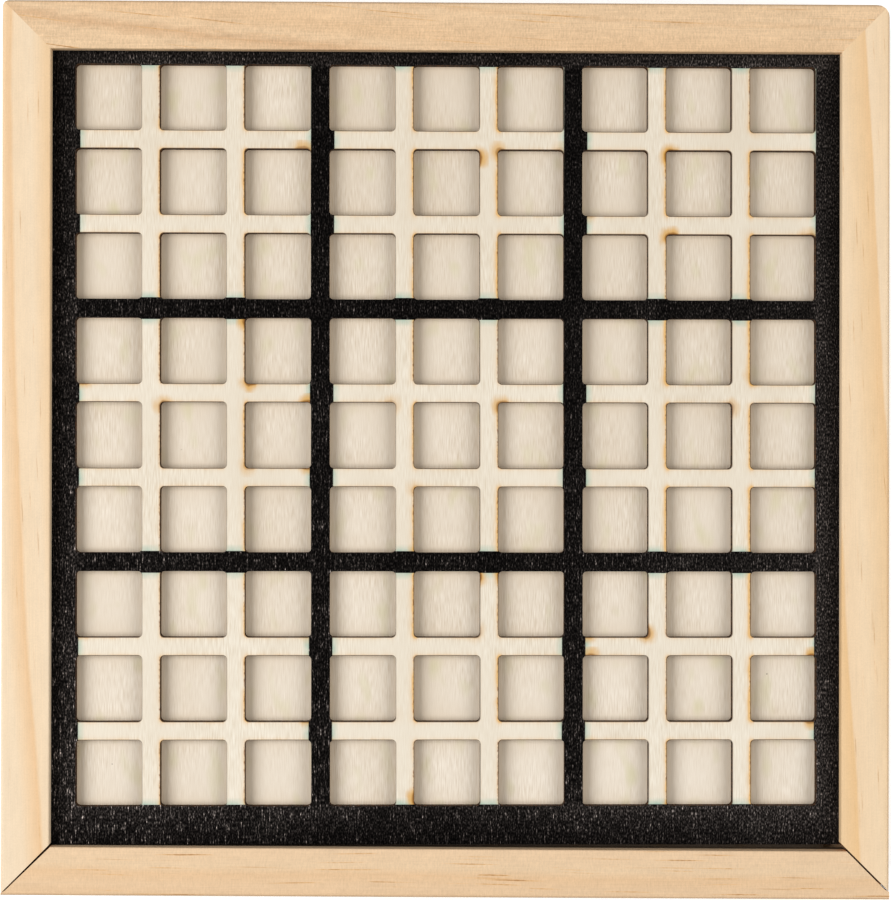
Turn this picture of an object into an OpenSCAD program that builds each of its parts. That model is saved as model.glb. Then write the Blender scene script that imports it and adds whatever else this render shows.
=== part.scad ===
// Wooden sudoku board on a shallow pine box. The board is the box's lid: it slides out of the
// side grooves on its own front rail and uncovers a tray that keeps the number tiles.
// Frame: origin under the middle of the box, +X right, +Y to the back, +Z up. The lid opens along -Y.

/* [Grid] */
// Side of one square cell window in the laser-cut grid
cell_window = 16.4; // [14:0.1:20]
// Width of the bars between two windows
cell_bar = 4.6; // [3:0.1:6]
// Corner radius of a cell window
window_r = 1; // [0.5:0.25:2]
// Thickness of the grid plywood, which is the depth of a cell
grid_t = 3; // [2:0.25:5]
// Visible border of the grid plate beside the outer columns
side_border = 5.8; // [4:0.05:12]
// Visible border of the grid plate behind the back row
rear_border = 3.15; // [2.5:0.05:12]
// Border of the grid plate in front of the front row, at its left end
front_border = 9.4; // [4:0.05:16]
// How much wider that border is at its right end, because the plate is sawn a little out of square
front_skew = 0.25; // [0:0.05:0.5]
// How much further left the back row of windows lies than the front row, cut by a laser out of square
grid_lean = 0.45; // [0:0.05:1]

/* [Block lines] */
// Thickness of the black print on the grid plate
print_t = 0.1; // [0.05:0.01:0.2]
// How far the print runs past a block's outer columns
side_overlap = 0.6; // [0.1:0.05:1]
// How far the print runs past a block's outer rows
row_overlap = 0.4; // [0.05:0.05:1]
// Sideways misregister of the print against the laser cut, at the middle of the grid
print_shift = 0.3; // [0:0.05:0.5]
// How much further to the right the print lies behind the back row than in front of the front row
print_lean = 0.4; // [0:0.1:1.2]

/* [Cell floor] */
// Thickness of the plywood under the grid
floor_t = 3; // [2:0.25:5]
// How far the floor plywood reaches past the outer columns
floor_margin = 2.5; // [1:0.25:3]

/* [Box] */
// Width of the pine rails
rail_w = 12; // [10:0.5:20]
// Height of the rails above the top of the grid plate
lip_h = 3.5; // [2.5:0.25:8]
// Free height of the tile tray under the lid
store_h = 14.5; // [8:0.5:40]
// Height of the base panel above the table
base_raise = 3; // [2:0.25:6]
// Thickness of the plywood base panel
base_t = 3; // [2:0.25:5]
// Rounding of the rails' outer top edges
ease_outer = 0.9; // [0.4:0.1:2]
// Rounding of the rails' other long edges
ease_inner = 0.4; // [0.2:0.1:0.8]
// Radius of the sanded left rear corner, seen from above
left_corner_r = 2; // [1:0.25:5]
// Radius of the right rear corner, which is sanded rounder
right_corner_r = 3.5; // [1:0.25:5]

/* [Joinery] */
// Depth of the lid groove in the side and rear rails
lid_groove = 5; // [3:0.25:6]
// Depth of the base groove in all four walls
base_groove = 4; // [3:0.25:6]
// Clearance of a panel's edge from the bottom of its groove
groove_end = 0.5; // [0.2:0.05:1]
// Clearance above and below the sliding board
slide_clear = 0.25; // [0.15:0.05:0.5]
// Clearance above the base panel in its groove
base_clear = 0.1; // [0.05:0.05:0.3]
// How deep the floor plywood is let into the pull rail
tongue = 6; // [3:0.25:8]
// Gap at the two mitres of the pull rail, square to the mitre and halfway along it
mitre_gap = 0.42; // [0.3:0.02:0.6]
// How much wider the left mitre's gap is at its inner end, and narrower at its outer end
mitre_taper = 0.14; // [0:0.02:0.2]
// How far from the outer faces the mitres' gaps start to close
tip_way = 1.2; // [0.5:0.1:3]
// Gap that is left at the mitres' outer tips
tip_gap = 0.06; // [0.04:0.02:0.2]
// Gap between the grid plate and the pull rail at the rail's left end
board_gap = 0.1; // [0:0.05:1]
// How far forward the right end of the pull rail stands, because it is glued on a little askew
pull_skew = 1.4; // [0:0.1:2]

/* [Number tiles] */
// Thickness of a tile
tile_t = 3; // [2:0.25:5]
// Clearance all round a tile that lies in a cell
tile_clear = 0.4; // [0.3:0.05:1]
// Corner radius of a tile
tile_r = 1; // [0.5:0.25:2]
// Space between two tiles in the tray
tile_gap = 2.5; // [2:0.25:4]
// Largest angle by which a loose tile lies askew
tile_turn = 3; // [0:0.5:4]

/* [Hidden] */
block_cells = 3;
cells = block_cells * block_cells;
digits = cells;
cell_pitch = cell_window + cell_bar;
grid_span = cells * cell_window + (cells - 1) * cell_bar;
block_span = block_cells * cell_window + (block_cells - 1) * cell_bar;

// The grid plate and the gap in front of it fill the frame's opening, and the rails go round that.
// The lid stands a little short of closed, so that both its mitres are open by their gap.
mitre_stand = mitre_gap * sqrt(2);
opening_w = grid_span + 2 * side_border;
opening_l = rear_border + grid_span + front_border + board_gap - mitre_stand;
box_w = opening_w + 2 * rail_w;
box_l = opening_l + 2 * rail_w;

// The pull rail's right corner is the foremost point of the part.
pull_angle = atan(pull_skew / opening_w);
pull_reach = mitre_stand + (opening_w + rail_w) * tan(pull_angle);

// Levels from the front to the back
rear_y = (box_l + pull_reach) / 2;
front_y = rear_y - box_l;
opening_rear = rear_y - rail_w;
opening_front = front_y + rail_w;
tray_y = (opening_front + opening_rear) / 2;
grid_y = opening_rear - rear_border - grid_span / 2;

// Levels from the table up
base_top = base_raise + base_t;
floor_z = base_top + store_h;
grid_z = floor_z + floor_t;
grid_top = grid_z + grid_t;
box_h = grid_top + lip_h;

// Edges of the sliding board
board_w = opening_w + 2 * (lid_groove - groove_end);
board_rear = opening_rear + lid_groove - groove_end;
board_front = grid_y - grid_span / 2 - front_border;
floor_w = grid_span + 2 * floor_margin;
floor_rear = opening_rear - groove_end;
floor_front = board_front - board_gap - tongue;

tile = cell_window - 2 * tile_clear;
tile_pitch = tile + tile_gap;

// Past this, a cutter is sure to clear the faces that it opens.
over = 1;
arc_steps = 4;

PINE = "#efcfa0";
PINE_SHADE = "#e8c493";
PLYWOOD = "#ede0c6";
INK = "#17130f";
TILE_WOOD = "#e6d3ae";

// Points of an arc about c, from angle a to angle b
function arc(c, r, a, b) =
    [for (i = [0 : arc_steps]) c + r * [cos(a + (b - a) * i / arc_steps), sin(a + (b - a) * i / arc_steps)]];

// Centre of a grid cell, counted from the front left
function cell_centre(column, row) = let (
    middle = (cells - 1) / 2,
    lean = grid_lean * (row - middle) / (cells - 1)
) [(column - middle) * cell_pitch - lean, grid_y + (row - middle) * cell_pitch];

// Angle of one loose tile in the tray, spread evenly but without a pattern
function tile_angle(digit, copy) = tile_turn * sin(131 * digit + 67 * copy);

// Square with rounded corners
module rounded_square(side, r) {
    c = side / 2 - r;
    polygon(concat(arc([c, c], r, 0, 90), arc([-c, c], r, 90, 180), arc([-c, -c], r, 180, 270),
        arc([c, -c], r, 270, 360)));
}

// Section of a wall from z_low to z_high, with its inner face at x = 0 and its long edges eased.
// top_ease is the rounding of the outer top edge.
module wall_section(z_low, z_high, top_ease) {
    e = ease_inner;
    polygon(concat(
        [[0, z_low]],
        arc([rail_w - e, z_low + e], e, -90, 0),
        arc([rail_w - top_ease, z_high - top_ease], top_ease, 0, 90),
        arc([e, z_high - e], e, 90, 180)
    ));
}

// Groove in a wall's inner face
module groove_section(depth, z_low, height) {
    translate([-over, z_low]) square([depth + over, height]);
}

module base_groove_section() {
    groove_section(base_groove, base_raise, base_t + base_clear);
}

// Section shared by the side and rear rails: lid groove above, base groove below
module rail_section() {
    difference() {
        wall_section(0, box_h, ease_outer);
        groove_section(lid_groove, grid_z - slide_clear, grid_t + print_t + 2 * slide_clear);
        base_groove_section();
    }
}

// Section of the fixed front wall, which ends under the sliding board
module front_wall_section() {
    difference() {
        wall_section(0, floor_z - slide_clear, ease_inner);
        base_groove_section();
    }
}

// Section of the pull rail, rebated underneath for the floor plywood
module pull_rail_section() {
    difference() {
        wall_section(floor_z, box_h, ease_outer);
        groove_section(tongue + groove_end, floor_z - over, floor_t + over);
    }
}

// A straight wall whose section runs along one side of the box. angle turns it from the right side to
// another one, inner is the distance from the middle to its inner face.
module straight_wall(angle, inner) {
    rotate(angle) translate([inner, 0, 0]) rotate([90, 0, 0])
        linear_extrude(box_w + box_l, center = true) children();
}

// Keeps what lies over a plan polygon, such as a wall between its two mitres
module cut_to_plan(points) {
    intersection() {
        children();
        linear_extrude(box_h) polygon(points);
    }
}

// Plan of the box with its two rear corners rounded
function box_plan() = concat(
    arc([box_w / 2 - right_corner_r, rear_y - right_corner_r], right_corner_r, 0, 90),
    arc([left_corner_r - box_w / 2, rear_y - left_corner_r], left_corner_r, 90, 180),
    [[-box_w / 2, front_y], [box_w / 2, front_y]]
);

// Plan of a side rail on the side with the sign s
function side_plan(s) = [
    [s * opening_w / 2, opening_front], [s * box_w / 2, front_y],
    [s * box_w / 2, rear_y], [s * opening_w / 2, opening_rear]
];

// Plan of a rear or front wall between its mitres, from its inner to its outer face
function end_plan(inner_y, outer_y) = [
    [-opening_w / 2, inner_y], [-box_w / 2, outer_y], [box_w / 2, outer_y], [opening_w / 2, inner_y]
];

// Gap at the left mitre, at a way inwards from the outer face
function left_gap(way) = mitre_gap + mitre_taper * (2 * way / rail_w - 1);

// Point on the pull rail's mitre on the side with the sign s, at a way inwards from the outer face
function mitre_point(s, way, gap) = [s * (box_w / 2 - way), front_y + way - gap * sqrt(2)];

// Plan of the pull rail: both mitres stand off by their gap and run past the askew rail by one rail width.
// The tips nearly close, and are sanded flush with the sides.
function pull_plan() = let (
    outer = front_y - mitre_stand - rail_w,
    past = 2 * rail_w
) [
    mitre_point(-1, past, left_gap(past)), mitre_point(-1, tip_way, left_gap(tip_way)),
    mitre_point(-1, 0, tip_gap), [-box_w / 2, outer], [box_w / 2, outer], mitre_point(1, 0, tip_gap),
    mitre_point(1, tip_way, mitre_gap), mitre_point(1, past, mitre_gap)
];

module right_rail() {
    color(PINE) cut_to_plan(box_plan()) cut_to_plan(side_plan(1))
        straight_wall(0, opening_w / 2) rail_section();
}

module left_rail() {
    color(PINE) cut_to_plan(box_plan()) cut_to_plan(side_plan(-1))
        straight_wall(180, opening_w / 2) rail_section();
}

module rear_rail() {
    color(PINE_SHADE) cut_to_plan(box_plan()) cut_to_plan(end_plan(opening_rear, rear_y))
        straight_wall(90, opening_rear) rail_section();
}

module front_wall() {
    color(PINE_SHADE) cut_to_plan(end_plan(opening_front, front_y)) straight_wall(-90, -opening_front)
        front_wall_section();
}

module base_panel() {
    entry = 2 * (base_groove - groove_end);
    color(PLYWOOD) translate([0, tray_y, base_raise]) linear_extrude(base_t)
        square([opening_w + entry, opening_l + entry], center = true);
}

module pull_rail() {
    color(PINE_SHADE) cut_to_plan(pull_plan()) translate([-opening_w / 2, opening_front - mitre_stand, 0])
        rotate(-pull_angle) straight_wall(-90, 0) pull_rail_section();
}

module cell_floor() {
    color(PLYWOOD) translate([-floor_w / 2, floor_front, floor_z])
        cube([floor_w, floor_rear - floor_front, floor_t]);
}

module cell_windows() {
    for (column = [0 : cells - 1], row = [0 : cells - 1])
        translate(cell_centre(column, row)) rounded_square(cell_window, window_r);
}

// Outline of the grid plate, which runs in the grooves of the side and rear rails
module board_outline() {
    polygon([
        [-board_w / 2, board_front], [board_w / 2, board_front - front_skew],
        [board_w / 2, board_rear], [-board_w / 2, board_rear]
    ]);
}

module grid_plate() {
    color(PLYWOOD) translate([0, 0, grid_z]) linear_extrude(grid_t) difference() {
        board_outline();
        cell_windows();
    }
}

// Corner of a block's bare field, on the sides with the signs u and v. The whole print leans a little.
function bare_corner(column, row, u, v) = let (
    middle = (block_cells - 1) / 2,
    block_pitch = block_cells * cell_pitch,
    x = (column - middle) * block_pitch + u * (block_span / 2 - side_overlap),
    y = (row - middle) * block_pitch + v * (block_span / 2 - row_overlap)
) [x + print_shift + print_lean * y / grid_span, grid_y + y];

// Black border and block lines, printed before the windows are cut through them
module block_line_print() {
    color(INK) translate([0, 0, grid_top]) linear_extrude(print_t) difference() {
        board_outline();
        for (column = [0 : block_cells - 1], row = [0 : block_cells - 1])
            polygon([for (corner = [[-1, -1], [1, -1], [1, 1], [-1, 1]])
                bare_corner(column, row, corner[0], corner[1])]);
        cell_windows();
    }
}

// One row of nine loose tiles of the same digit, lying on the base panel
module tile_row(digit) {
    y = tray_y + ((digits + 1) / 2 - digit) * tile_pitch;
    color(TILE_WOOD)
        for (copy = [1 : cells])
            translate([(copy - (cells + 1) / 2) * tile_pitch, y, base_top])
                rotate(tile_angle(digit, copy)) linear_extrude(tile_t) rounded_square(tile, tile_r);
}

left_rail();
right_rail();
rear_rail();
front_wall();
base_panel();
pull_rail();
cell_floor();
grid_plate();
block_line_print();
for (digit = [1 : digits])
    tile_row(digit);
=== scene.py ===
"""Looks of a wooden sudoku board: a pine box whose lid is a laser-cut plywood grid over number tiles."""
import math

import bpy
from mathutils import Matrix, Vector


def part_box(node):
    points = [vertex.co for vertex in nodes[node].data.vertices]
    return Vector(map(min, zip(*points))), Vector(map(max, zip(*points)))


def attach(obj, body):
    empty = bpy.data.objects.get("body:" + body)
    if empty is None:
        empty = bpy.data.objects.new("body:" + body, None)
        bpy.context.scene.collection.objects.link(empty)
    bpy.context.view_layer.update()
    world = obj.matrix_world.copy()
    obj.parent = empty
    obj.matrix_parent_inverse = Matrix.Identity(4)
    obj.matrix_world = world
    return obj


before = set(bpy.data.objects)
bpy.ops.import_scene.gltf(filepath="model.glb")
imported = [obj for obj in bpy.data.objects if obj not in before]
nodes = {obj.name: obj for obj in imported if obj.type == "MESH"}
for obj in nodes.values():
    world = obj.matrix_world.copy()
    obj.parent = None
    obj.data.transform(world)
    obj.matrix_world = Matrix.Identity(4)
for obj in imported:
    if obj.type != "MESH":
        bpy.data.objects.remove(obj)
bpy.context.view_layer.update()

# One millimetre in metres
MM = 0.001

# Sizes in millimetres that repeat the board's own, with its counts and the tiles' greatest turn in degrees
CELLS = 9
BLOCK_CELLS = 3
CELL_WINDOW = 16.4
CELL_BAR = 4.6
WINDOW_R = 1.0
GRID_LEAN = 0.45
REAR_BORDER = 3.15
FRONT_BORDER = 9.4
GROOVE_HOLD = 4.5
SIDE_OVERLAP = 0.6
ROW_OVERLAP = 0.4
PRINT_SHIFT = 0.3
PRINT_LEAN = 0.4
TILE_CLEAR = 0.4
TILE_GAP = 2.5
TILE_TURN = 3.0

CELL_PITCH = CELL_WINDOW + CELL_BAR
HALF_PITCH = CELL_PITCH / 2
WINDOW_CORE = CELL_WINDOW / 2 - WINDOW_R
MIDDLE_CELL = (CELLS + 1) / 2
LAST_COLUMN = (CELLS - 1) / 2 * CELL_PITCH
BLOCK_PITCH = BLOCK_CELLS * CELL_PITCH
HALF_BLOCK = BLOCK_PITCH / 2
BLOCK_SPAN = BLOCK_PITCH - CELL_BAR
GRID_SPAN = CELLS * CELL_PITCH - CELL_BAR
GRID_HALF = GRID_SPAN / 2
TILE = CELL_WINDOW - 2 * TILE_CLEAR
TILE_PITCH = TILE + TILE_GAP

# Places read from the frame, in millimetres
BOX_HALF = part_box("right_rail")[1].x / MM
BOX_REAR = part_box("rear_rail")[1].y / MM
BOX_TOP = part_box("rear_rail")[1].z / MM
PULL_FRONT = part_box("pull_rail")[0].y / MM
GRID_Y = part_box("grid_plate")[1].y / MM - GROOVE_HOLD - REAR_BORDER - GRID_HALF
BOARD_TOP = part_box("grid_plate")[1].z / MM
BOARD_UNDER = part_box("cell_floor")[0].z / MM
TRAY_Y = sum(corner.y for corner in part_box("base_panel")) / 2 / MM
TILE_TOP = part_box("tiles_1")[1].z / MM

# Mean value of a noise, and a length beyond all of the board's
NOISE_MEAN = 0.5
FAR = 1000.0


def linear(colour):
    """An sRGB hex value as linear red, green, blue and alpha."""
    parts = [int(colour[i:i + 2], 16) / 255 for i in (1, 3, 5)]
    return [c / 12.92 if c <= 0.04045 else ((c + 0.055) / 1.055) ** 2.4 for c in parts] + [1.0]


def add(tree, kind, inputs=(), stops=(), **settings):
    """Adds a node with its settings. An input takes a value, a hex colour, or another node or its socket."""
    made = tree.nodes.new("ShaderNode" + kind)
    for name, value in settings.items():
        setattr(made, name, value)
    for name, value in dict(inputs).items():
        if isinstance(name, int):
            socket = made.inputs[name]
        else:
            socket = next(s for s in made.inputs if s.enabled and s.name == name)
        if isinstance(value, bpy.types.Node):
            value = next(s for s in value.outputs if s.enabled)
        if isinstance(value, bpy.types.NodeSocket):
            tree.links.new(value, socket)
        else:
            socket.default_value = linear(value) if isinstance(value, str) else value
    while stops and len(made.color_ramp.elements) < len(stops):
        made.color_ramp.elements.new(1.0)
    for element, (place, colour) in zip(made.color_ramp.elements if stops else (), stops):
        element.position = place
        element.color = linear(colour)
    return made


def material(name):
    """A new material: its node tree and its shader, still with the default values."""
    made = bpy.data.materials.new(name)
    made.use_nodes = True
    shader = next(n for n in made.node_tree.nodes if n.type == "BSDF_PRINCIPLED")
    return made, made.node_tree, shader


# Depth of the grain, in metres
GRAIN_DEPTH = 0.05 * MM


def finish(tree, shader, colour, relief, strength, roughness, gloss):
    """Gives a shader its colour, the relief of the grain, its roughness and how much gloss it has."""
    tree.links.new(next(s for s in colour.outputs if s.enabled), shader.inputs["Base Color"])
    bump = add(tree, "Bump", {"Height": relief, "Strength": strength, "Distance": GRAIN_DEPTH})
    tree.links.new(bump.outputs["Normal"], shader.inputs["Normal"])
    shader.inputs["Roughness"].default_value = roughness
    shader.inputs["Specular IOR Level"].default_value = gloss


def finish_wood(tree, shader, colour, relief, roughness):
    """Bare sanded wood: matt, with a weak gloss and the relief of its grain."""
    finish(tree, shader, colour, relief, strength=0.25, roughness=roughness, gloss=0.1)
    shader.inputs["IOR"].default_value = 1.45


def place_in_mm(tree, turn, origin):
    """Coordinates of a piece in millimetres: turned about Z, then counted from origin in the turned axes."""
    coords = add(tree, "TexCoord")
    minus = [-value for value in origin]
    scale = [1 / MM] * 3
    return add(tree, "Mapping", {"Vector": coords.outputs["Object"], "Location": minus,
                                 "Rotation": (0.0, 0.0, turn), "Scale": scale})


def place_on_board(tree):
    """Coordinates in millimetres, counted from the middle of the grid of cells."""
    return place_in_mm(tree, 0.0, (0.0, GRID_Y, 0.0))


def figure(tree, place, size, seed, detail=2.0):
    """Noise whose spots have a real size in millimetres along X, Y and Z, so that long ones are streaks."""
    scaled = add(tree, "VectorMath", {0: place, 1: [1 / length for length in size]}, operation="MULTIPLY")
    return add(tree, "TexNoise", {"Vector": scaled, "W": seed, "Scale": 1.0, "Detail": detail},
               noise_dimensions="4D").outputs["Fac"]


# Sanded pine: pale earlywood that deepens to orange latewood at a few slanting ring lines, fine fibres
# along the rail, a ripple across it, and thin brown resin canals. Bare, so it has hardly any gloss. Ways
# across the rings, the canals' width, and the heights of the painted shade on the outer edge and of the
# painted slot shade with soot on the inner faces are in millimetres.
PINE_ROUGHNESS = 0.62
BAND_REACH = 24.0
RING_TILT = 0.55
RING_WANDER = 2.4
CANAL_WIDTH = 0.36
CANAL_FRAY = 0.5
EDGE_SHADE_FULL = 0.6
EDGE_SHADE_END = 1.0
SHADE_AND_SOOT_BLUR = 0.3


def ring_bands(tree, place, slant, bow, bands, ragged, seed):
    """Colour of the ring bands, and the way across the rings that they are laid along."""
    axes = add(tree, "SeparateXYZ", {"Vector": place})
    along = axes.outputs["Y"]
    climb = add(tree, "Math", {0: along, 1: -bow, 2: -slant}, operation="MULTIPLY_ADD")
    across = add(tree, "Math", {0: along, 1: climb, 2: axes.outputs["X"]}, operation="MULTIPLY_ADD")

    # The tilt carries the bands of the top on down the outer side.
    across = add(tree, "Math", {0: axes.outputs["Z"], 1: RING_TILT, 2: across}, operation="MULTIPLY_ADD")
    wander = figure(tree, place, size=(25.0, 60.0, 25.0), seed=seed)
    wander = add(tree, "Math", {0: wander, 1: NOISE_MEAN}, operation="SUBTRACT")
    across = add(tree, "Math", {0: wander, 1: RING_WANDER, 2: across}, operation="MULTIPLY_ADD")
    fray = figure(tree, place, size=(1.5, 7.0, 1.5), seed=seed)
    fray = add(tree, "Math", {0: fray, 1: NOISE_MEAN}, operation="SUBTRACT")
    frayed = add(tree, "Math", {0: fray, 1: ragged, 2: across}, operation="MULTIPLY_ADD")
    band = add(tree, "MapRange", {"Value": frayed, "From Min": -BAND_REACH, "From Max": BAND_REACH})
    stops = [(0.5 + way / BAND_REACH / 2, colour) for way, colour in bands]
    return add(tree, "ValToRGB", {"Fac": band}, stops), across


def pine_grain(tree, place, colour, grit, ripple, seed):
    """Lays fibres, ripple, broad tone, blotches and open pores over the colour, and gives the fibres alone
    as well."""
    fibre = figure(tree, place, size=(0.3, 12.0, 0.3), seed=seed + 1, detail=3.0)
    value = 1.0
    for pattern, strength in (
        (fibre, 0.16 * grit),
        (figure(tree, place, size=(1.6, 0.4, 1.6), seed=seed + 2), ripple),
        (figure(tree, place, size=(5.0, 12.0, 5.0), seed=seed + 3), 0.1 * grit),
        (figure(tree, place, size=(1.6, 3.0, 1.6), seed=seed + 4), 0.08 * grit),
        (figure(tree, place, size=(0.4, 0.45, 0.4), seed=seed + 5, detail=1.0), 0.12 * grit),
    ):
        centred = add(tree, "Math", {0: pattern, 1: NOISE_MEAN}, operation="SUBTRACT")
        value = add(tree, "Math", {0: centred, 1: strength, 2: value}, operation="MULTIPLY_ADD")
    return add(tree, "HueSaturation", {"Color": colour, "Value": value}), fibre


def resin_canals(tree, place, across, colour, dash, resin, stain, seed):
    """Lays thin uneven brown dashes in an orange halo over the colour. They follow the rings."""
    axes = add(tree, "SeparateXYZ", {"Vector": place})
    bent = add(tree, "CombineXYZ", {"X": across, "Y": axes.outputs["Y"], "Z": axes.outputs["Z"]})
    scale = (1 / CANAL_WIDTH, 1 / dash, 1 / CANAL_WIDTH)
    scaled = add(tree, "VectorMath", {0: bent, 1: scale}, operation="MULTIPLY")
    canals = add(tree, "TexVoronoi", {"Vector": scaled, "W": seed, "Scale": 1.0}, voronoi_dimensions="4D")
    fray = figure(tree, place, size=(0.4, 1.2, 0.4), seed=seed + 6, detail=1.0)
    near = add(tree, "Math", {0: fray, 1: CANAL_FRAY, 2: canals.outputs["Distance"]},
               operation="MULTIPLY_ADD")
    chance = add(tree, "SeparateColor", {"Color": canals.outputs["Color"]}).outputs["Red"]
    chosen = add(tree, "MapRange", {"Value": chance, "From Min": 1 - resin, "From Max": 1 - resin / 2,
                                    "To Max": stain})
    for far, close, tint in ((0.95, 0.55, "#e2ad6c"), (0.7, 0.45, "#945a2a")):
        dashes = add(tree, "MapRange", {"Value": near, "From Min": far, "From Max": close},
                     interpolation_type="SMOOTHSTEP")
        dashes = add(tree, "Math", {0: dashes, 1: chosen}, operation="MULTIPLY")
        colour = add(tree, "Mix", {"Factor": dashes, "A": colour, "B": tint}, data_type="RGBA")
    return colour


def worked_faces(tree, place, turn, colour, edge_shade):
    """Lays darker end grain, painted shade on the outer rounded edge, and painted slot shade with some soot
    on single faces of a rail over the colour.
    """
    height = add(tree, "SeparateXYZ", {"Vector": place}).outputs["Z"]
    normal = add(tree, "TexCoord").outputs["Normal"]
    turned = add(tree, "VectorRotate", {"Vector": normal, "Angle": turn}, rotation_type="Z_AXIS")
    faces = add(tree, "SeparateXYZ", {"Vector": turned})

    # End grain in the mitres is deeper and redder.
    lengthwise = add(tree, "Math", {0: faces.outputs["Y"]}, operation="ABSOLUTE")
    mitre = add(tree, "Math", {0: faces.outputs["X"], 1: lengthwise}, operation="MINIMUM")
    mitre = add(tree, "MapRange", {"Value": mitre, "From Min": 0.4, "From Max": 0.6, "To Max": 0.95})
    colour = add(tree, "Mix", {"Factor": mitre, "A": colour, "B": "#d9944a"}, data_type="RGBA")

    # Painted shade darkens the rounded outer edge.
    outward = add(tree, "MapRange", {"Value": faces.outputs["X"], "From Min": -0.35, "From Max": -0.75,
                                     "To Max": edge_shade})
    upper = add(tree, "MapRange", {"Value": height, "From Min": -EDGE_SHADE_END, "From Max": -EDGE_SHADE_FULL})
    shaded_edge = add(tree, "Math", {0: outward, 1: upper}, operation="MULTIPLY")
    colour = add(tree, "Mix", {"Factor": shaded_edge, "A": colour, "B": "#86664a"}, data_type="RGBA")

    # Painted shade of the narrow slot, with some soot from the cut board, darkens the inner faces that stand
    # beside the board.
    inner = add(tree, "MapRange", {"Value": faces.outputs["X"], "From Min": 0.75, "From Max": 0.9,
                                   "To Max": 0.8})
    below = add(tree, "MapRange", {"Value": height, "From Min": BOARD_TOP - BOX_TOP + SHADE_AND_SOOT_BLUR,
                                   "From Max": BOARD_TOP - BOX_TOP - SHADE_AND_SOOT_BLUR})
    above = add(tree, "MapRange", {"Value": height, "From Min": BOARD_UNDER - BOX_TOP - SHADE_AND_SOOT_BLUR,
                                   "From Max": BOARD_UNDER - BOX_TOP})
    slot_shade_and_soot = add(tree, "Math", {0: below, 1: above}, operation="MULTIPLY")
    slot_shade_and_soot = add(tree, "Math", {0: slot_shade_and_soot, 1: inner}, operation="MULTIPLY")
    return add(tree, "Mix", {"Factor": slot_shade_and_soot, "A": colour, "B": "#2e2015"}, data_type="RGBA")


def sanded_pine(name, turn, outer, slant, bow, bands, ragged, grit, ripple, dash, resin, stain, edge_shade,
                seed):
    """Pine for one rail, whose outer face lies outer millimetres from the origin. bands colour the wood by
    the distance in millimetres inwards from the outer edge at the middle of the rail. Along the rail they
    move inwards by slant times the way plus bow times its square, and their edges wander by ragged. grit is
    the strength of the grain and ripple that of the ripple across it. Resin canals, dash millimetres long,
    lie at a share resin of their places and are as strong as stain. The argument after stain gives the
    strength of the painted shade on the outer rounded edge."""
    made, tree, shader = material(name)
    place = place_in_mm(tree, turn, (-outer, 0.0, BOX_TOP))
    colour, across = ring_bands(tree, place, slant, bow, bands, ragged, seed)
    colour, fibre = pine_grain(tree, place, colour, grit, ripple, seed)
    colour = resin_canals(tree, place, across, colour, dash, resin, stain, seed)
    colour = worked_faces(tree, place, turn, colour, edge_shade)
    finish_wood(tree, shader, colour, fibre, PINE_ROUGHNESS)
    return made


# Bare basswood plywood: creamy, with fine short grain lines along Y, cut by a laser that leaves brown
# walls. The lines are drawn a quarter of a millimetre wide, coarser than real ones, so that they show.
# Reaches, ends, the spots' shift and the specks are in millimetres.
PLYWOOD_ROUGHNESS = 0.7
BROAD_TONE = 0.5
BLEED_REACH = 1.8
SMOKE_REACH = 0.45
THICKEST_SMOKE = 0.85
TAR_FULL = 0.15
TAR_END = 0.5
RIM_FULL = 0.11
RIM_END = 0.21
SPOT_SHIFT = 1.0
SPOT_FRAY = 1.2
SPOT_HUG = 1.8
SPECK_SPACING = 9.0
SPECK_OUTER = 0.252
SPECK_INNER = 0.135
# Width of the painted slot shade with smoke along the front of the floor, in millimetres
FRONT_SLOT_SHADE_AND_SOOT = 2.0


def basswood(tree, place, pale, deep, fade, seed):
    """Colour of a basswood face with its grain along Y, and the grain by itself. fade is how much the sheet
    deepens towards the rear, per millimetre."""
    line = figure(tree, place, size=(0.25, 3.5, 0.5), seed=seed, detail=1.0)
    tone = figure(tree, place, size=(14.0, 60.0, 14.0), seed=seed + 1)
    coarse = figure(tree, place, size=(20.0, 20.0, 20.0), seed=seed + 2, detail=1.0)
    depth = add(tree, "MapRange", {"Value": coarse, "From Min": 0.35, "From Max": 0.65,
                                   "To Min": 0.4, "To Max": 1.3})
    centred = add(tree, "Math", {0: line, 1: NOISE_MEAN}, operation="SUBTRACT")
    rearward = add(tree, "SeparateXYZ", {"Vector": place}).outputs["Y"]
    both = add(tree, "Math", {0: rearward, 1: fade}, operation="MULTIPLY")
    both = add(tree, "Math", {0: centred, 1: depth, 2: both}, operation="MULTIPLY_ADD")
    both = add(tree, "Math", {0: tone, 1: BROAD_TONE, 2: both}, operation="MULTIPLY_ADD")
    factor = add(tree, "MapRange", {"Value": both, "From Min": -0.05, "From Max": 0.55})
    return add(tree, "Mix", {"Factor": factor, "A": pale, "B": deep}, data_type="RGBA"), line


def burnt_walls(tree, place, colour, seed):
    """Lays the brown of laser-cut edges over every face that stands upright."""
    normal = add(tree, "TexCoord").outputs["Normal"]
    upward = add(tree, "SeparateXYZ", {"Vector": normal}).outputs["Z"]
    upward = add(tree, "Math", {0: upward}, operation="ABSOLUTE")
    wall = add(tree, "MapRange", {"Value": upward, "From Min": 0.7, "From Max": 0.3})
    streak = figure(tree, place, size=(0.5, 0.5, 6.0), seed=seed)
    char = add(tree, "ValToRGB", {"Fac": streak}, [(0.3, "#1a100a"), (0.5, "#382313"), (0.7, "#5c3c20")])
    return add(tree, "Mix", {"Factor": wall, "A": colour, "B": char}, data_type="RGBA")


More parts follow.
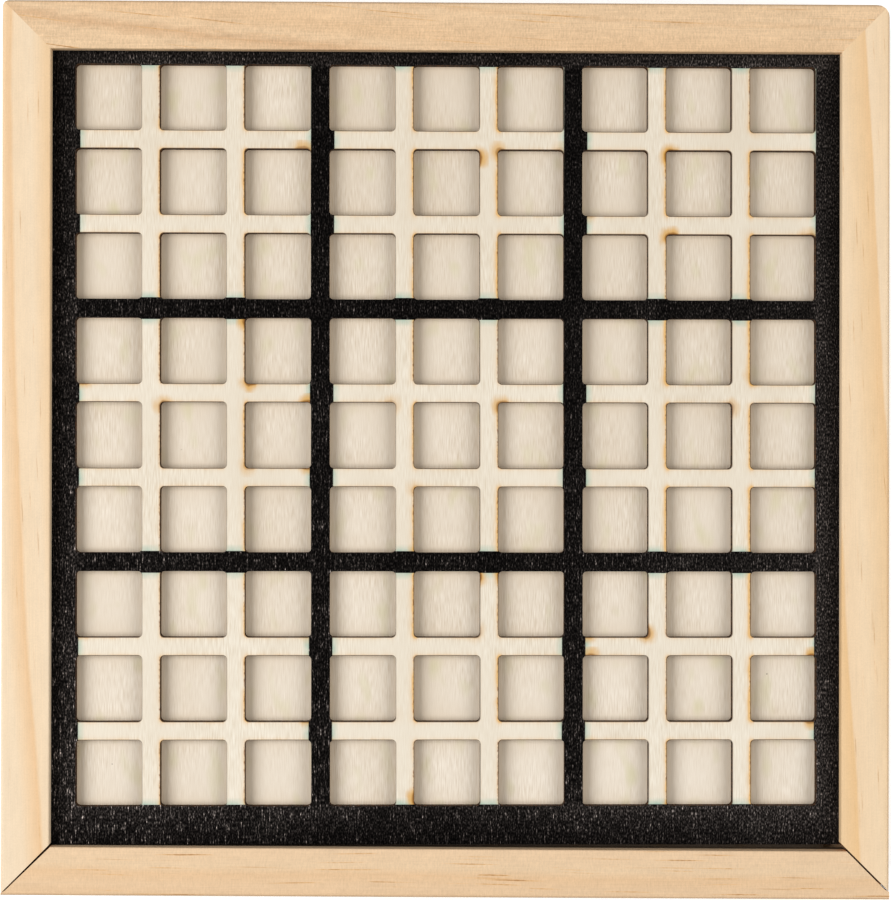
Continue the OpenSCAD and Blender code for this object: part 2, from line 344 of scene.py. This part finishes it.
def set_upright(tree, place):
    """Place on the board once its leaning columns of windows are set upright."""
    rearward = add(tree, "SeparateXYZ", {"Vector": place}).outputs["Y"]
    lean = add(tree, "Math", {0: rearward, 1: GRID_LEAN / (GRID_SPAN - CELL_WINDOW)}, operation="MULTIPLY")
    lean = add(tree, "CombineXYZ", {"X": lean})
    return add(tree, "VectorMath", {0: place, 1: lean}, operation="ADD")


def window_field(tree, upright):
    """A point's way across from the middle of its cell, its distance outwards from the window's edge, and
    its way outwards from the middle of the nearest corner's arc."""
    cell = add(tree, "VectorMath", {0: upright, 1: (HALF_PITCH, HALF_PITCH, FAR),
                                    2: (-HALF_PITCH, -HALF_PITCH, -FAR)}, operation="WRAP")
    flat = add(tree, "VectorMath", {0: cell, 1: (1.0, 1.0, 0.0)}, operation="MULTIPLY")
    across = add(tree, "SeparateXYZ", {"Vector": flat}).outputs["X"]
    folded = add(tree, "VectorMath", {0: flat}, operation="ABSOLUTE")
    beyond = add(tree, "VectorMath", {0: folded, 1: (WINDOW_CORE, WINDOW_CORE, 0.0)}, operation="SUBTRACT")
    past = add(tree, "VectorMath", {0: beyond, 1: (0.0, 0.0, 0.0)}, operation="MAXIMUM")
    outside = add(tree, "VectorMath", {0: past}, operation="LENGTH").outputs["Value"]
    sides = add(tree, "SeparateXYZ", {"Vector": beyond})
    inside = add(tree, "Math", {0: sides.outputs["X"], 1: sides.outputs["Y"]}, operation="MAXIMUM")
    inside = add(tree, "Math", {0: inside, 1: 0.0}, operation="MINIMUM")
    distance = add(tree, "Math", {0: outside, 1: inside}, operation="ADD")
    distance = add(tree, "Math", {0: distance, 1: WINDOW_R}, operation="SUBTRACT")
    return across, distance, beyond


def ink_bleed(tree, place, colour):
    """Lays the ink that has bled into the bare bars beside the leaning print over the colour."""
    rearward = add(tree, "SeparateXYZ", {"Vector": place}).outputs["Y"]
    lean = PRINT_LEAN / GRID_SPAN
    shift = add(tree, "Math", {0: rearward, 1: lean, 2: PRINT_SHIFT}, operation="MULTIPLY_ADD")
    shift = add(tree, "CombineXYZ", {"X": shift})
    register = add(tree, "VectorMath", {0: place, 1: shift}, operation="SUBTRACT")
    block = add(tree, "VectorMath", {0: register, 1: (HALF_BLOCK, HALF_BLOCK, FAR),
                                     2: (-HALF_BLOCK, -HALF_BLOCK, -FAR)}, operation="WRAP")
    block = add(tree, "VectorMath", {0: block}, operation="ABSOLUTE")
    bare = (BLOCK_SPAN / 2 - SIDE_OVERLAP, BLOCK_SPAN / 2 - ROW_OVERLAP, 0.0)
    inside = add(tree, "VectorMath", {0: block, 1: bare}, operation="SUBTRACT")
    inside = add(tree, "SeparateXYZ", {"Vector": inside})
    nearest = add(tree, "Math", {0: inside.outputs["X"], 1: inside.outputs["Y"]}, operation="MAXIMUM")
    bleed = add(tree, "MapRange", {"Value": nearest, "From Min": -BLEED_REACH, "From Max": 0.0,
                                   "To Max": 1.25})
    patch = figure(tree, place, size=(2.0, 2.0, 2.0), seed=15.0)
    bleed = add(tree, "Math", {0: bleed, 1: patch}, operation="MULTIPLY")
    return add(tree, "Mix", {"Factor": bleed, "A": colour, "B": "#9cbdac"}, data_type="RGBA")


def smoke_stains(tree, place, upright, distance, left, right, patchy, colour):
    """Lays smoke over the colour: strong on the left of a window, more so towards the right columns, and
    weak on its other sides. Each window has its own luck with it."""
    centred = add(tree, "VectorMath", {0: upright, 1: (HALF_PITCH, HALF_PITCH, 0.0)}, operation="ADD")
    window = add(tree, "VectorMath", {0: centred, 1: (CELL_PITCH, CELL_PITCH, FAR)}, operation="SNAP")
    luck = add(tree, "TexWhiteNoise", {"Vector": window}, noise_dimensions="3D").outputs["Value"]
    drift = add(tree, "MapRange", {"Value": luck, "To Min": 0.5, "To Max": 2.4})
    sideways = add(tree, "SeparateXYZ", {"Vector": place}).outputs["X"]
    column = add(tree, "MapRange", {"Value": sideways, "From Min": -LAST_COLUMN, "From Max": LAST_COLUMN,
                                    "To Min": 0.75, "To Max": 1.45})
    drift = add(tree, "Math", {0: drift, 1: column}, operation="MULTIPLY")
    drift = add(tree, "Math", {0: drift, 1: left}, operation="MULTIPLY")
    ends = add(tree, "Math", {0: left, 1: right}, operation="ADD")
    ends = add(tree, "MapRange", {"Value": ends, "To Min": 0.55, "To Max": 0.1})
    drift = add(tree, "Math", {0: drift, 1: ends}, operation="ADD")
    drift = add(tree, "Math", {0: drift, 1: patchy}, operation="MULTIPLY")
    falloff = add(tree, "Math", {0: distance, 1: -1 / SMOKE_REACH}, operation="MULTIPLY")
    falloff = add(tree, "Math", {0: falloff}, operation="EXPONENT")
    haze = add(tree, "Math", {0: falloff, 1: drift}, operation="MULTIPLY")
    haze = add(tree, "Math", {0: haze, 1: THICKEST_SMOKE}, operation="MINIMUM")
    return add(tree, "Mix", {"Factor": haze, "A": colour, "B": "#ebb96e"}, data_type="RGBA")


def tar_beads(tree, place, distance, left, colour):
    """Lays brown beads of tar along the left edges of the windows over the colour."""
    beads = figure(tree, place, size=(0.5, 0.9, 0.5), seed=17.0, detail=1.0)
    beads = add(tree, "MapRange", {"Value": beads, "From Min": 0.46, "From Max": 0.66, "To Max": 0.9})
    edge = add(tree, "MapRange", {"Value": distance, "From Min": TAR_END, "From Max": TAR_FULL})
    beads = add(tree, "Math", {0: beads, 1: edge}, operation="MULTIPLY")
    beads = add(tree, "Math", {0: beads, 1: left}, operation="MULTIPLY")
    return add(tree, "Mix", {"Factor": beads, "A": colour, "B": "#8a4f1c"}, data_type="RGBA")


def burnt_corners(tree, upright, beyond, distance, patchy, colour):
    """Lays burn spots over the colour where the laser turned a few of the corners: a lopsided orange halo,
    brown close to the cut. Red is a corner's luck, and green and blue are the way its spot lies aside."""
    quarter = add(tree, "VectorMath", {0: upright, 1: (HALF_PITCH, HALF_PITCH, FAR)}, operation="SNAP")
    luck = add(tree, "TexWhiteNoise", {"Vector": quarter}, noise_dimensions="3D").outputs["Color"]
    luck = add(tree, "SeparateColor", {"Color": luck})
    burn = add(tree, "MapRange", {"Value": luck.outputs["Red"], "From Min": 0.85, "From Max": 0.95})
    aside = add(tree, "CombineXYZ", {"X": luck.outputs["Green"], "Y": luck.outputs["Blue"]})
    aside = add(tree, "VectorMath", {0: aside, 1: (2 * SPOT_SHIFT, 2 * SPOT_SHIFT, 0.0),
                                     2: (-SPOT_SHIFT, -SPOT_SHIFT, 0.0)}, operation="MULTIPLY_ADD")
    aside = add(tree, "VectorMath", {0: beyond, 1: aside}, operation="ADD")
    aside = add(tree, "VectorMath", {0: aside}, operation="LENGTH").outputs["Value"]
    frayed = add(tree, "Math", {0: patchy, 1: -SPOT_FRAY, 2: aside}, operation="MULTIPLY_ADD")
    hugging = add(tree, "Math", {0: distance, 1: SPOT_HUG, 2: frayed}, operation="MULTIPLY_ADD")
    for way, far, close, tint, strength in ((frayed, 2.5, 0.1, "#dda74e", 0.85),
                                            (hugging, 1.9, 0.4, "#7a4414", 0.75)):
        spot = add(tree, "MapRange", {"Value": way, "From Min": far, "From Max": close,
                                      "To Max": strength}, interpolation_type="SMOOTHSTEP")
        spot = add(tree, "Math", {0: spot, 1: burn}, operation="MULTIPLY")
        colour = add(tree, "Mix", {"Factor": spot, "A": colour, "B": tint}, data_type="RGBA")
    return colour


def charred_rim(tree, distance, right, colour):
    """Lays the thin charred rim of each window over the colour, weaker on the right edges."""
    rim = add(tree, "MapRange", {"Value": distance, "From Min": RIM_END, "From Max": RIM_FULL,
                                 "To Max": 0.9})
    spared = add(tree, "MapRange", {"Value": right, "To Min": 1.0, "To Max": 0.6})
    rim = add(tree, "Math", {0: rim, 1: spared}, operation="MULTIPLY")
    return add(tree, "Mix", {"Factor": rim, "A": colour, "B": "#432814"}, data_type="RGBA")


def grid_plywood():
    """The laser-cut grid: smoke, tar and char beside the cuts, most of all on the left of each window."""
    made, tree, shader = material("laser_cut_basswood_plywood")
    place = place_on_board(tree)
    upright = set_upright(tree, place)
    across, distance, beyond = window_field(tree, upright)
    side = WINDOW_CORE + WINDOW_R
    left = add(tree, "MapRange", {"Value": across, "From Min": -WINDOW_CORE, "From Max": -side})
    right = add(tree, "MapRange", {"Value": across, "From Min": WINDOW_CORE, "From Max": side})
    patchy = figure(tree, place, size=(2.5, 4.0, 2.5), seed=12.0, detail=3.0)
    patchy = add(tree, "MapRange", {"Value": patchy, "From Min": 0.32, "From Max": 0.62,
                                    "To Min": 0.3, "To Max": 1.1})
    colour, line = basswood(tree, place, pale="#f8efde", deep="#dfd0b9", fade=0.0007, seed=11.0)
    colour = ink_bleed(tree, place, colour)
    colour = smoke_stains(tree, place, upright, distance, left, right, patchy, colour)
    colour = tar_beads(tree, place, distance, left, colour)
    colour = burnt_corners(tree, upright, beyond, distance, patchy, colour)
    colour = charred_rim(tree, distance, right, colour)
    colour = burnt_walls(tree, place, colour, seed=13.0)
    finish_wood(tree, shader, colour, line, PLYWOOD_ROUGHNESS)
    return made


def plain_plywood(tree, place, pale, deep, fade, seed):
    """Colour of a plain basswood sheet with a few specks and faint stains, and its grain."""
    colour, line = basswood(tree, place, pale, deep, fade, seed)
    stain = figure(tree, place, size=(6.0, 10.0, 6.0), seed=seed + 4, detail=1.0)
    stain = add(tree, "MapRange", {"Value": stain, "From Min": 0.58, "From Max": 0.76, "To Max": 0.5})
    colour = add(tree, "Mix", {"Factor": stain, "A": colour, "B": "#d6d0a0"}, data_type="RGBA")
    spots = add(tree, "TexVoronoi", {"Vector": place, "Scale": 1 / SPECK_SPACING}, voronoi_dimensions="3D")
    speck = add(tree, "MapRange", {"Value": spots.outputs["Distance"],
                                   "From Min": SPECK_OUTER / SPECK_SPACING,
                                   "From Max": SPECK_INNER / SPECK_SPACING})
    chance = add(tree, "SeparateColor", {"Color": spots.outputs["Color"]}).outputs["Red"]
    chosen = add(tree, "MapRange", {"Value": chance, "From Min": 0.6, "From Max": 0.7, "To Max": 0.6})
    speck = add(tree, "Math", {0: speck, 1: chosen}, operation="MULTIPLY")
    return add(tree, "Mix", {"Factor": speck, "A": colour, "B": "#6d5540"}, data_type="RGBA"), line


def cell_floor_plywood():
    """The sheet under the windows: pinker than the grid, with painted warm bounce light beside the scorched
    walls, and a dark front strip of painted slot shade with some smoke.
    """
    made, tree, shader = material("basswood_plywood_floor")
    place = place_on_board(tree)
    colour, line = plain_plywood(tree, place, pale="#f9eede", deep="#dac9b2", fade=0.0009, seed=71.0)
    across, distance = window_field(tree, set_upright(tree, place))[:2]
    left = add(tree, "Math", {0: across, 1: -1.0, 2: -CELL_WINDOW / 2}, operation="MULTIPLY_ADD")
    # Painted warm bounce light from the scorched walls, near every wall and most of all beside the left one
    for way, reach, strength in ((distance, 2.0, 0.24), (left, 2.2, 0.3)):
        painted_warm_bounce = add(tree, "Math", {0: way, 1: 1 / reach}, operation="MULTIPLY")
        painted_warm_bounce = add(tree, "Math", {0: painted_warm_bounce}, operation="EXPONENT")
        painted_warm_bounce = add(tree, "Math", {0: painted_warm_bounce, 1: strength}, operation="MULTIPLY", use_clamp=True)
        colour = add(tree, "Mix", {"Factor": painted_warm_bounce, "A": colour, "B": "#fad8a8"}, data_type="RGBA")
    # Painted shade of the narrow slot in front of the grid, with some smoke: a dark strip along the front
    rearward = add(tree, "SeparateXYZ", {"Vector": place}).outputs["Y"]
    front = -GRID_HALF - FRONT_BORDER
    slot_shade_and_soot = add(tree, "MapRange", {"Value": rearward, "From Min": front + FRONT_SLOT_SHADE_AND_SOOT, "From Max": front,
                                  "To Max": 0.95})
    colour = add(tree, "Mix", {"Factor": slot_shade_and_soot, "A": colour, "B": "#3c2d20"}, data_type="RGBA")
    colour = burnt_walls(tree, place, colour, seed=75.0)
    finish_wood(tree, shader, colour, line, PLYWOOD_ROUGHNESS)
    return made


def base_plywood():
    """The bottom of the tray, of the same plywood but yellower."""
    made, tree, shader = material("basswood_plywood_base")
    place = place_on_board(tree)
    colour, line = plain_plywood(tree, place, pale="#f0e2c8", deep="#dcc7a4", fade=0.0, seed=81.0)
    finish_wood(tree, shader, colour, line, PLYWOOD_ROUGHNESS)
    return made


def tile_plywood():
    """Number tiles, cut by the laser from a yellower sheet, so that their edges are brown."""
    made, tree, shader = material("basswood_tile")
    place = place_on_board(tree)
    colour, line = plain_plywood(tree, place, pale="#f1e3c6", deep="#dcc39a", fade=0.0, seed=91.0)
    colour = burnt_walls(tree, place, colour, seed=95.0)
    finish_wood(tree, shader, colour, line, PLYWOOD_ROUGHNESS)
    return made


# Matt black screen ink: the wood's grain underneath leaves many faint and a few strong grey flecks. Tones
# are logarithms of the brightness. The block lines are the deepest black. The border is paler beside the
# cells and deepens outwards, and all of the ink pales towards the front. A painted sheen pales it towards
# the left and right ends.
LINE_TONE = -5.91
BORDER_TONE = -4.92
OUTER_TONE = -1.4
SIDE_SHEEN = 0.6
SHEEN_FROM = 10.0
SHEEN_TO = 75.0
REAR_TONE = 0.5
RIGHT_SLOPE = 0.003
REAR_SLOPE = -0.0027
DOT_SPREAD = 10.8
PATCH_SPREAD = 1.5
EDGE_BLUR = 1.0

# Strength of the bare dashes at the left and right ends, how far from the middle those lie in millimetres,
# and how much the strength changes rearwards per millimetre
LEFT_DASHES = 3.1
RIGHT_DASHES = 1.2
DASH_ENDS = 100.0
REAR_DASH_SLOPE = -0.009


def screen_print(name):
    """Screen ink on wood whose grain runs along Y."""
    made, tree, shader = material(name)
    place = place_on_board(tree)
    axes = add(tree, "SeparateXYZ", {"Vector": place})
    folded = add(tree, "VectorMath", {0: place}, operation="ABSOLUTE")
    folded = add(tree, "SeparateXYZ", {"Vector": folded})
    outward = add(tree, "Math", {0: folded.outputs["X"], 1: folded.outputs["Y"]}, operation="MAXIMUM")
    layer = add(tree, "MapRange", {"Value": outward, "From Min": GRID_HALF - EDGE_BLUR,
                                   "From Max": GRID_HALF, "To Min": LINE_TONE, "To Max": BORDER_TONE})
    tone = layer
    for way, near, far, most in (
        (outward, GRID_HALF, GRID_HALF + FRONT_BORDER, OUTER_TONE),
        # Painted sheen: the ink pales towards the left and right ends
        (folded.outputs["X"], SHEEN_FROM, SHEEN_TO, SIDE_SHEEN),
        (axes.outputs["Y"], GRID_HALF - EDGE_BLUR, GRID_HALF, REAR_TONE),
    ):
        change = add(tree, "MapRange", {"Value": way, "From Min": near, "From Max": far, "To Max": most})
        tone = add(tree, "Math", {0: tone, 1: change}, operation="ADD")
    dots = figure(tree, place, size=(0.28, 0.7, 0.28), seed=23.0, detail=1.0)
    dots = add(tree, "Math", {0: dots, 1: NOISE_MEAN}, operation="SUBTRACT")
    patch = figure(tree, place, size=(8.0, 14.0, 8.0), seed=22.0, detail=1.0)
    patch = add(tree, "Math", {0: patch, 1: NOISE_MEAN}, operation="SUBTRACT")
    for way, slope in ((axes.outputs["X"], RIGHT_SLOPE), (axes.outputs["Y"], REAR_SLOPE),
                       (dots, DOT_SPREAD), (patch, PATCH_SPREAD)):
        tone = add(tree, "Math", {0: way, 1: slope, 2: tone}, operation="MULTIPLY_ADD")

    # Sparse dashes of bare grain, as bright in the lines as in the border, most of them at the front left
    fleck = figure(tree, place, size=(0.35, 3.0, 0.35), seed=21.0, detail=1.0)
    dashes = add(tree, "MapRange", {"Value": fleck, "From Min": 0.5, "From Max": 0.76})
    bare = add(tree, "MapRange", {"Value": axes.outputs["X"], "From Min": -DASH_ENDS, "From Max": DASH_ENDS,
                                  "To Min": LEFT_DASHES, "To Max": RIGHT_DASHES})
    bare = add(tree, "Math", {0: axes.outputs["Y"], 1: REAR_DASH_SLOPE, 2: bare}, operation="MULTIPLY_ADD")
    deeper = add(tree, "Math", {0: BORDER_TONE, 1: layer}, operation="SUBTRACT")
    bare = add(tree, "Math", {0: bare, 1: deeper}, operation="ADD")
    tone = add(tree, "Math", {0: dashes, 1: bare, 2: tone}, operation="MULTIPLY_ADD")
    shine = add(tree, "Math", {0: tone}, operation="EXPONENT", use_clamp=True)
    colour = add(tree, "Mix", {"Factor": shine, "A": "#010101", "B": "#ffede3"}, data_type="RGBA")
    finish(tree, shader, colour, fleck, strength=0.3, roughness=0.8, gloss=0.01)
    return made


def dress(piece, coat):
    """Gives a piece one material all over."""
    piece.data.materials.clear()
    piece.data.materials.append(coat)


# Camera where the photograph was taken, in millimetres and degrees: 64 cm up, a little left of the middle
FRAME_WIDTH_PX = 891
FOCAL_PX = 2465.3
SENSOR_WIDTH = 36.0
CAMERA_PLACE = (-13.5, -1.33, 640.0)
CAMERA_TURN = (0.151, -1.2285, 0.105)
CLIP_START = 10.0
camera_data = bpy.data.cameras.new("camera")
camera_data.sensor_fit = "HORIZONTAL"
camera_data.sensor_width = SENSOR_WIDTH
camera_data.lens = FOCAL_PX / FRAME_WIDTH_PX * SENSOR_WIDTH
camera_data.clip_start = CLIP_START * MM
camera = bpy.data.objects.new("camera", camera_data)
camera.location = [way * MM for way in CAMERA_PLACE]
camera.rotation_euler = [math.radians(angle) for angle in CAMERA_TURN]
bpy.context.scene.collection.objects.link(camera)
bpy.context.scene.camera = camera

# Finishes of the four rails, each from its own board, and of the front wall, which is like the pull rail
QUARTER = math.pi / 2
left_pine = sanded_pine(
    "sanded_pine_left", turn=0.0, outer=BOX_HALF, slant=-0.040, bow=0.00022,
    bands=[(-24.0, "#ebcca5"), (-14.0, "#f0d9b9"), (-9.0, "#e9c59a"), (-6.0, "#f1dbbd"), (-0.5, "#f1d9b9"),
           (2.0, "#efcfa8"), (4.0, "#ecc69a"), (4.8, "#f1d7b5"), (9.0, "#f1d9b9"), (13.0, "#edcba0"),
           (18.0, "#f0d7b4")],
    ragged=0.5, grit=1.1, ripple=0.06, dash=8.0, resin=0.06, stain=0.25, edge_shade=0.0, seed=31.0)
right_pine = sanded_pine(
    "sanded_pine_right", turn=2 * QUARTER, outer=BOX_HALF, slant=-0.058, bow=0.0,
    bands=[(-24.0, "#f0cea3"), (-13.0, "#f4dab7"), (-12.4, "#ecc38f"), (-6.0, "#f2d4ad"), (0.1, "#f4dab8"),
           (0.6, "#eec797"), (3.0, "#efcda1"), (8.0, "#f3d8b4"), (12.6, "#f2d5b0"), (13.2, "#eec693"),
           (18.0, "#f1d1a6")],
    ragged=0.5, grit=1.1, ripple=0.06, dash=8.0, resin=0.06, stain=0.25, edge_shade=0.3, seed=41.0)
rear_pine = sanded_pine(
    "sanded_pine_rear", turn=QUARTER, outer=BOX_REAR, slant=0.075, bow=-0.0003,
    bands=[(-20.0, "#e3c199"), (-12.0, "#e7c59d"), (0.4, "#e8c7a0"), (1.6, "#e2bf97"), (2.6, "#e8c7a0"),
           (9.0, "#e5c198"), (12.0, "#e8c7a0"), (14.4, "#d8b28a"), (16.4, "#e7c69f"), (24.0, "#e8c8a1")],
    ragged=3.6, grit=2.6, ripple=0.5, dash=18.0, resin=0.1, stain=0.6, edge_shade=0.5, seed=51.0)
front_pine = sanded_pine(
    "sanded_pine_front", turn=-QUARTER, outer=-PULL_FRONT, slant=0.015, bow=0.0,
    bands=[(-20.0, "#e9c498"), (-8.0, "#eccca3"), (0.0, "#e5c29a"), (3.0, "#e8c7a1"), (6.0, "#e7c39a"),
           (8.0, "#e9cba6"), (12.0, "#eacaa5"), (18.0, "#e8c59d")],
    ragged=0.8, grit=1.3, ripple=0.28, dash=14.0, resin=0.12, stain=0.6, edge_shade=0.3, seed=61.0)
dress(nodes["left_rail"], left_pine)
dress(nodes["right_rail"], right_pine)
dress(nodes["rear_rail"], rear_pine)
dress(nodes["pull_rail"], front_pine)
dress(nodes["front_wall"], front_pine)

# Finishes of the board, the base and the tiles
dress(nodes["grid_plate"], grid_plywood())
dress(nodes["block_line_print"], screen_print("black_screen_ink"))
dress(nodes["cell_floor"], cell_floor_plywood())
dress(nodes["base_panel"], base_plywood())
tile_wood = tile_plywood()
tile_ink = screen_print("black_tile_ink")
for digit in range(1, CELLS + 1):
    dress(nodes[f"tiles_{digit}"], tile_wood)

# Printed numbers: a digit's height, thickness and extra boldness in millimetres, the share of the letter
# size that its height is, the steps of its curves, and the degrees by which the tiles' turns step on
DIGIT_HEIGHT = 9.5
DIGIT_T = 0.06
DIGIT_BOLD = 0.25
DIGIT_SHARE = 0.7
CURVE_STEPS = 6
DIGIT_STEP = 131
COPY_STEP = 67


def tile_place(digit, copy):
    """Where a loose tile lies in the tray: its middle and its turn."""
    turn = math.radians(TILE_TURN * math.sin(math.radians(DIGIT_STEP * digit + COPY_STEP * copy)))
    x = (copy - MIDDLE_CELL) * TILE_PITCH
    y = TRAY_Y + (MIDDLE_CELL - digit) * TILE_PITCH
    return Matrix.Translation((x * MM, y * MM, TILE_TOP * MM)) @ Matrix.Rotation(turn, 4, "Z")


# One mesh per digit, copied to its nine tiles
for digit in range(1, CELLS + 1):
    bpy.ops.object.select_all(action="DESELECT")
    bpy.ops.object.text_add(location=(0.0, 0.0, 0.0))
    letter = bpy.context.object
    letter.data.body = str(digit)
    letter.data.align_x = "CENTER"
    letter.data.align_y = "CENTER"
    letter.data.size = DIGIT_HEIGHT * MM / DIGIT_SHARE
    letter.data.extrude = DIGIT_T * MM / 2
    letter.data.offset = DIGIT_BOLD * MM
    letter.data.resolution_u = CURVE_STEPS
    bpy.ops.object.convert(target="MESH")
    low = [min(v.co[i] for v in letter.data.vertices) for i in range(3)]
    high = [max(v.co[i] for v in letter.data.vertices) for i in range(3)]
    letter.data.transform(Matrix.Translation([-(a + b) / 2 for a, b in zip(low, high)]))
    letter.data.transform(Matrix.Translation((0.0, 0.0, DIGIT_T * MM / 2)))
    copies = []
    for copy in range(1, CELLS + 1):
        bpy.ops.object.select_all(action="DESELECT")
        letter.select_set(True)
        bpy.context.view_layer.objects.active = letter
        bpy.ops.object.duplicate()
        piece = bpy.context.object
        piece.data.transform(tile_place(digit, copy))
        copies.append(piece)
    bpy.data.objects.remove(letter)
    bpy.ops.object.select_all(action="DESELECT")
    for piece in copies:
        piece.select_set(True)
    bpy.context.view_layer.objects.active = copies[0]
    bpy.ops.object.join()
    numbers = bpy.context.object
    numbers.name = f"tile_numbers_{digit}"
    dress(numbers, tile_ink)
    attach(numbers, "box")


def seen_directly(tree):
    """One for what the camera sees straight, mirrored or through glass, and zero for all other light."""
    rays = add(tree, "LightPath")
    direct = rays.outputs["Is Camera Ray"]
    for kind in ("Is Glossy Ray", "Is Transmission Ray"):
        direct = add(tree, "Math", {0: direct, 1: rays.outputs[kind]}, operation="MAXIMUM")
    return direct


# Matt white backdrop paper, in metres: softly lit, and lifted to white where it is seen directly, so that
# the shadow stays
FLOOR_SIZE = 6.0
FLOOR_DROP = 0.1 * MM
FLOOR_LIFT = 0.38
bpy.ops.object.select_all(action="DESELECT")
bpy.ops.mesh.primitive_plane_add(size=FLOOR_SIZE, location=(0.0, 0.0, -FLOOR_DROP))
floor = bpy.context.object
floor.name = "studio_floor"
paper, tree, shader = material("white_backdrop_paper")
shader.inputs["Base Color"].default_value = linear("#f0f0ef")
shader.inputs["Roughness"].default_value = 0.9
shader.inputs["Emission Color"].default_value = linear("#ffffff")
lifted = add(tree, "Math", {0: seen_directly(tree), 1: FLOOR_LIFT}, operation="MULTIPLY")
tree.links.new(lifted.outputs[0], shader.inputs["Emission Strength"])
dress(floor, paper)

# A weak even fill from all around, white where it is seen directly
FILL = 0.30
world = bpy.data.worlds.new("studio")
bpy.context.scene.world = world
world.use_nodes = True
tree = world.node_tree
background = next(n for n in tree.nodes if n.type == "BACKGROUND")
strength = add(tree, "MapRange", {"Value": seen_directly(tree), "To Min": FILL, "To Max": 1.0})
tree.links.new(strength.outputs[0], background.inputs["Strength"])
background.inputs["Color"].default_value = linear("#ffffff")

# Two square softboxes left and right of the table, in metres and watts, aimed at the board
SOFTBOX_SIZE = 0.7
SOFTBOX_AWAY = 0.8
SOFTBOX_Y = -0.03
SOFTBOX_HEIGHT = 0.8
for name, away, power in (("softbox_left", -SOFTBOX_AWAY, 9.0), ("softbox_right", SOFTBOX_AWAY, 5.0)):
    lamp = bpy.data.lights.new(name, "AREA")
    lamp.shape = "SQUARE"
    lamp.size = SOFTBOX_SIZE
    lamp.energy = power
    softbox = bpy.data.objects.new(name, lamp)
    softbox.location = (away, SOFTBOX_Y, SOFTBOX_HEIGHT)
    softbox.rotation_euler = (-Vector(softbox.location)).to_track_quat("-Z", "Y").to_euler()
    bpy.context.scene.collection.objects.link(softbox)

bpy.context.scene.view_settings.view_transform = "Standard"
